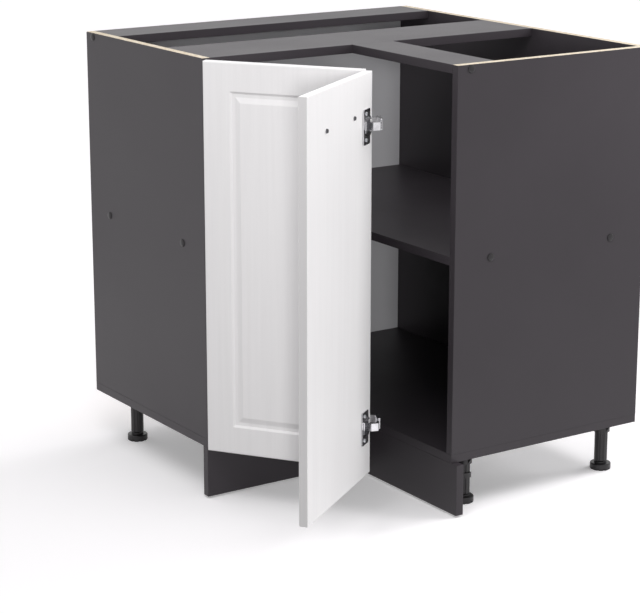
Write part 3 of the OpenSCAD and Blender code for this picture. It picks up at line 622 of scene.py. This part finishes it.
def fine_copy(name, slot, bevel, sharp_from=30.0, finish=None):
    """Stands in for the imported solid: merged, and bevelled where two faces meet at more than
    sharp_from degrees. The finish is the slot's own unless another is given."""
    solid = solids[name]
    piece = bpy.data.objects.new(name + "_fine", solid.data.copy())
    bpy.context.scene.collection.objects.link(piece)
    bpy.ops.object.select_all(action="DESELECT")
    piece.select_set(True)
    bpy.context.view_layer.objects.active = piece
    bpy.ops.mesh.customdata_custom_splitnormals_clear()
    bpy.ops.object.mode_set(mode="EDIT")
    bpy.ops.mesh.select_all(action="SELECT")
    bpy.ops.mesh.remove_doubles(threshold=MERGED_WITHIN)
    bpy.ops.mesh.dissolve_limited(angle_limit=FLAT_WITHIN)
    bpy.ops.object.mode_set(mode="OBJECT")
    if bevel:
        eased = piece.modifiers.new("eased_edges", "BEVEL")
        eased.width = bevel
        eased.segments = BEVEL_SEGMENTS
        eased.limit_method = "ANGLE"
        eased.angle_limit = math.radians(sharp_from)
        eased.use_clamp_overlap = False
        bpy.ops.object.modifier_apply(modifier=eased.name)
    bpy.ops.object.shade_smooth_by_angle(angle=math.radians(sharp_from))
    if bevel:
        even = piece.modifiers.new("even_faces", "WEIGHTED_NORMAL")
        even.weight = LARGE_FACES_LEAD
        even.keep_sharp = True
        bpy.ops.object.modifier_apply(modifier=even.name)
    piece.data.materials.clear()
    piece.data.materials.append(finish or FINISHES[slot])
    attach(piece, solid["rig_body"])
    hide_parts(name)
    print(name, "->", len(piece.data.polygons), "faces")


# %% The boards
EDGE_BAND_EASE = 0.0008
HARDBOARD_EASE = 0.0002

for name in ["left_side", "right_side", "back_board"]:
    fine_copy(name, "anthracite_board", EDGE_BAND_EASE, finish=standing_panel)
fine_copy("bottom_panel", "anthracite_board", EDGE_BAND_EASE, finish=bottom_board)
for name in ["shelf", "back_rail", "middle_rail", "front_rail", "left_plinth", "right_plinth"]:
    fine_copy(name, "anthracite_board", EDGE_BAND_EASE)
fine_copy("back_panel", "grey_back_panel", HARDBOARD_EASE)

# %% The leaves
FOIL_EASE = 0.0006
GROOVE_SHARP_FROM = 12.0

fine_copy("left_leaf", "white_foil_front", FOIL_EASE, GROOVE_SHARP_FROM)
fine_copy("right_leaf", "white_foil_front", FOIL_EASE, GROOVE_SHARP_FROM, white_foil_right)

# %% Feet, tubes, sockets and clips
MOULDED_EASE = 0.0003
ROUND_SHARP_FROM = 35.0

for name in ["leg_sockets", "leg_tubes", "plinth_clips", "foot_left_back", "foot_left_front",
             "foot_right_back", "foot_right_front", "foot_inner_corner", "foot_room_corner"]:
    fine_copy(name, "black_plastic", MOULDED_EASE, ROUND_SHARP_FROM)

# %% Hinges, handle, screws and dowels
STAMPED_EASE = 0.0002
ROD_EASE = 0.0004
DOWEL_EASE = 0.0003
NO_BEVEL = 0.0

for name in ["swing_hinge_plates", "swing_hinge_arms", "swing_hinge_cranks",
             "swing_hinge_links", "swing_hinge_cups", "fold_hinge_plates", "fold_hinge_arms",
             "fold_hinge_cranks", "fold_hinge_links", "fold_hinge_cups"]:
    fine_copy(name, "nickel_steel", STAMPED_EASE, ROUND_SHARP_FROM)
fine_copy("handle", "brushed_steel", ROD_EASE, ROUND_SHARP_FROM)
for name in ["swing_plate_screws", "swing_cup_screws", "fold_plate_screws", "fold_cup_screws",
             "socket_screws"]:
    fine_copy(name, "zinc_steel", NO_BEVEL, ROUND_SHARP_FROM)
for name in ["left_side_screws", "right_side_screws", "back_board_screws", "bottom_screws",
             "handle_screws"]:
    fine_copy(name, "burnished_steel", NO_BEVEL, ROUND_SHARP_FROM)
fine_copy("rail_dowels", "beech_dowel", DOWEL_EASE, ROUND_SHARP_FROM)

# %% [markdown]
# ## Small round heads
# Nails and screw covers are both small domed discs, of which there are many. One disc is
# modelled from a circle: its rim is extruded, and then each inset makes the top face smaller
# and lifts it a little. The copies of a disc are turned, placed and joined to one piece.

# %% Helpers that model a disc and copy it
def raised_disc(vertices, radius, rim, steps):
    """A closed disc that rises from z = 0 by its rim. Each step then insets the top face by
    its first number and lifts it by its second."""
    bpy.ops.object.select_all(action="DESELECT")
    bpy.ops.mesh.primitive_circle_add(vertices=vertices, radius=radius, fill_type="NGON")
    disc = bpy.context.object
    bpy.ops.object.mode_set(mode="EDIT")
    bpy.ops.mesh.select_all(action="SELECT")
    bpy.ops.mesh.extrude_region_move(TRANSFORM_OT_translate={"value": (0.0, 0.0, rim)})
    for inward, rise in steps:
        bpy.ops.mesh.inset(thickness=inward)
        bpy.ops.transform.translate(value=(0.0, 0.0, rise))
    bpy.ops.mesh.select_all(action="SELECT")
    bpy.ops.mesh.normals_make_consistent(inside=False)
    bpy.ops.object.mode_set(mode="OBJECT")
    return disc


def joined_copies(disc, name, spots, sharp_from, finish):
    """One piece of that name: a copy of the disc for each spot, which is a place and a turn.
    The disc itself goes."""
    copies = []
    for place, turn in spots:
        each = disc.copy()
        each.data = disc.data.copy()
        bpy.context.scene.collection.objects.link(each)
        each.location = place
        each.rotation_euler = turn
        copies.append(each)
    bpy.data.objects.remove(disc)
    bpy.ops.object.select_all(action="DESELECT")
    for each in copies:
        each.select_set(True)
    bpy.context.view_layer.objects.active = copies[0]
    bpy.ops.object.join()
    piece = bpy.context.object
    piece.name = name
    bpy.ops.object.transform_apply(location=True, rotation=True, scale=True)
    bpy.ops.object.shade_smooth_by_angle(angle=math.radians(sharp_from))
    piece.data.materials.append(finish)
    print(name, "has", len(spots), "discs and", len(piece.data.polygons), "faces")
    return piece


def middle(box):
    """The middle of a box, which is its low and its high corner."""
    return (box[0] + box[1]) / 2


# %% [markdown]
# ## Nails of the back panel
# The thin panel is nailed to the rear edges of the boards. The nails lie on the boards'
# middle lines: one row each along the bottom, the shelf and the rail, and between the rows
# one more nail at either side.

# %% Set the nails
NAIL_VERTICES = 16
NAIL_R = 0.0022
NAIL_INSET = NAIL_R * 0.3
NAIL_RAISE = 0.0004
NAILS_PER_ROW = 7
NAIL_SHARP_FROM = 30.0

panel_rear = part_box("back_panel")[1].y
near_x = middle(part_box("left_side")).x
far_x = middle(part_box("back_board")).x
low_z = middle(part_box("bottom_panel")).z
mid_z = middle(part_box("shelf")).z
high_z = middle(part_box("back_rail")).z
nail_step = (far_x - near_x) / (NAILS_PER_ROW - 1)
places = []
for z in [low_z, mid_z, high_z]:
    places += [(near_x + nail_step * i, z) for i in range(NAILS_PER_ROW)]
for z in [(low_z + mid_z) / 2, (mid_z + high_z) / 2]:
    places += [(near_x, z), (far_x, z)]
nail = raised_disc(NAIL_VERTICES, NAIL_R, NAIL_RAISE / 2, [(NAIL_INSET, NAIL_RAISE / 2)])
to_rear = Euler((-math.pi / 2, 0.0, 0.0))
nails = joined_copies(
    nail, "back_panel_nails", [((x, panel_rear, z), to_rear) for x, z in places],
    NAIL_SHARP_FROM, zinc)
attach(nails, "carcass")

# %% [markdown]
# ## Covers on the screw heads
# In the photograph each long screw through the side panels ends in a dark, slightly domed
# head wider than the screw's own. It is a plastic cover pressed over the head. Four insets
# that rise less and less make its dome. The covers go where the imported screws' heads are.

# %% Find the screw heads
COVER_R = 0.0072
SAME_PLANE = 0.0001


def head_places(name, axis):
    """The middle of each screw's head, on the outermost plane along that axis (0 x, 1 y)."""
    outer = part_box(name)[0][axis]
    heads = []
    for vertex in solids[name].data.vertices:
        if vertex.co[axis] > outer + SAME_PLANE:
            continue
        near = [head for head in heads if (head[0] - vertex.co).length < 2 * COVER_R]
        if near:
            near[0].append(vertex.co.copy())
        else:
            heads.append([vertex.co.copy()])
    return [Vector([(min(v[i] for v in head) + max(v[i] for v in head)) / 2 for i in range(3)])
            for head in heads]


left_heads = head_places("left_side_screws", 0)
right_heads = head_places("right_side_screws", 1)
print(len(left_heads), "heads on the left,", len(right_heads), "on the right")

# %% Set the covers
COVER_VERTICES = 32
COVER_RIM = 0.0008
COVER_STEPS = [(0.0008, 0.0009), (0.0015, 0.0008), (0.0019, 0.0005), (0.0018, 0.0001)]
COVER_SHARP_FROM = 50.0

cover = raised_disc(COVER_VERTICES, COVER_R, COVER_RIM, COVER_STEPS)
to_left = Euler((0.0, -math.pi / 2, 0.0))
to_front = Euler((math.pi / 2, 0.0, 0.0))
spots = [(head, to_left) for head in left_heads] + [(head, to_front) for head in right_heads]
covers = joined_copies(cover, "screw_covers", spots, COVER_SHARP_FROM, black_plastic)
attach(covers, "carcass")
